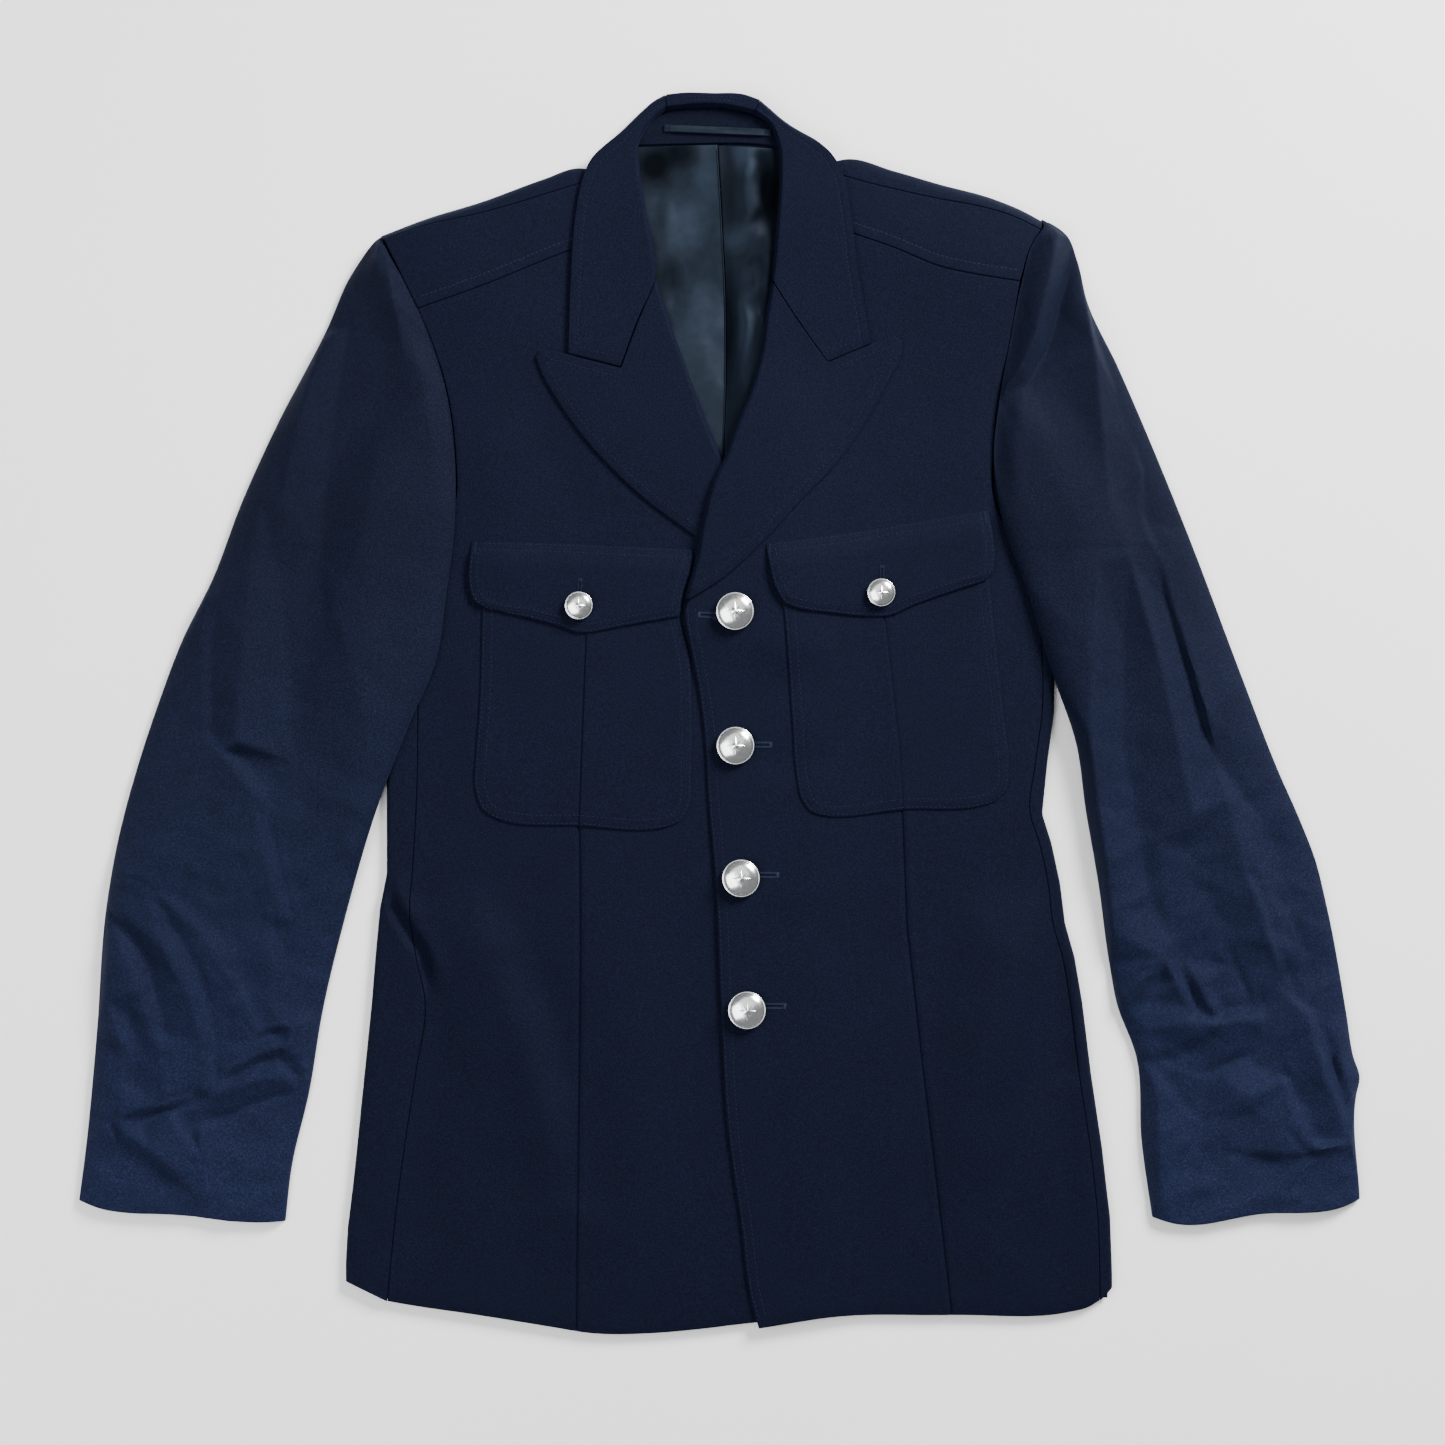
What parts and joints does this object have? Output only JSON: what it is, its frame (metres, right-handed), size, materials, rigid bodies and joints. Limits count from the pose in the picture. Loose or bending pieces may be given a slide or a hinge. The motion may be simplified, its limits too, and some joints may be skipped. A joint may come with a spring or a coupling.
{
  "type": "dress uniform jacket",
  "caption": "Single-breasted dark navy wool dress uniform jacket with peak lapels, yokes, flapped chest pockets and domed silver buttons, laid flat.",
  "frame": {"origin": "centre of the outline, on the surface that the jacket lies on", "axes": "+X towards the wearer's left sleeve, +Y towards the collar, +Z out of the front"},
  "size_m": [0.7961, 0.7716, 0.0194],
  "materials": {
    "wool": "matt fine wool barathea, very dark navy",
    "sleeve_wool": "the same wool, a little lighter through its nap",
    "satin": "smooth dark satin lining",
    "silver": "polished silver plate"
  },
  "bodies": {
    "root": {"collar_stand": "wool", "collar_back": "wool", "neck_facing": "wool", "back_right": "wool", "back_left": "wool", "side_right": "wool", "side_left": "wool", "front_right": "wool", "front_left": "wool", "yoke_right": "wool", "yoke_left": "wool", "shoulder_right": "wool", "shoulder_left": "wool", "lapel_right": "wool", "lapel_left": "wool", "collar_right": "wool", "collar_left": "wool", "pocket_right": "wool", "pocket_left": "wool", "flap_right": "wool", "flap_left": "wool", "sleeve_right": "sleeve_wool", "sleeve_left": "sleeve_wool", "under_sleeve_right": "sleeve_wool", "under_sleeve_left": "sleeve_wool", "lining_right": "satin", "lining_left": "satin", "hanger_loop": "satin", "button_front_1": "silver", "button_front_2": "silver", "button_front_3": "silver", "button_front_4": "silver", "button_pocket_right": "silver", "button_pocket_left": "silver"}
  },
  "joints": []
}
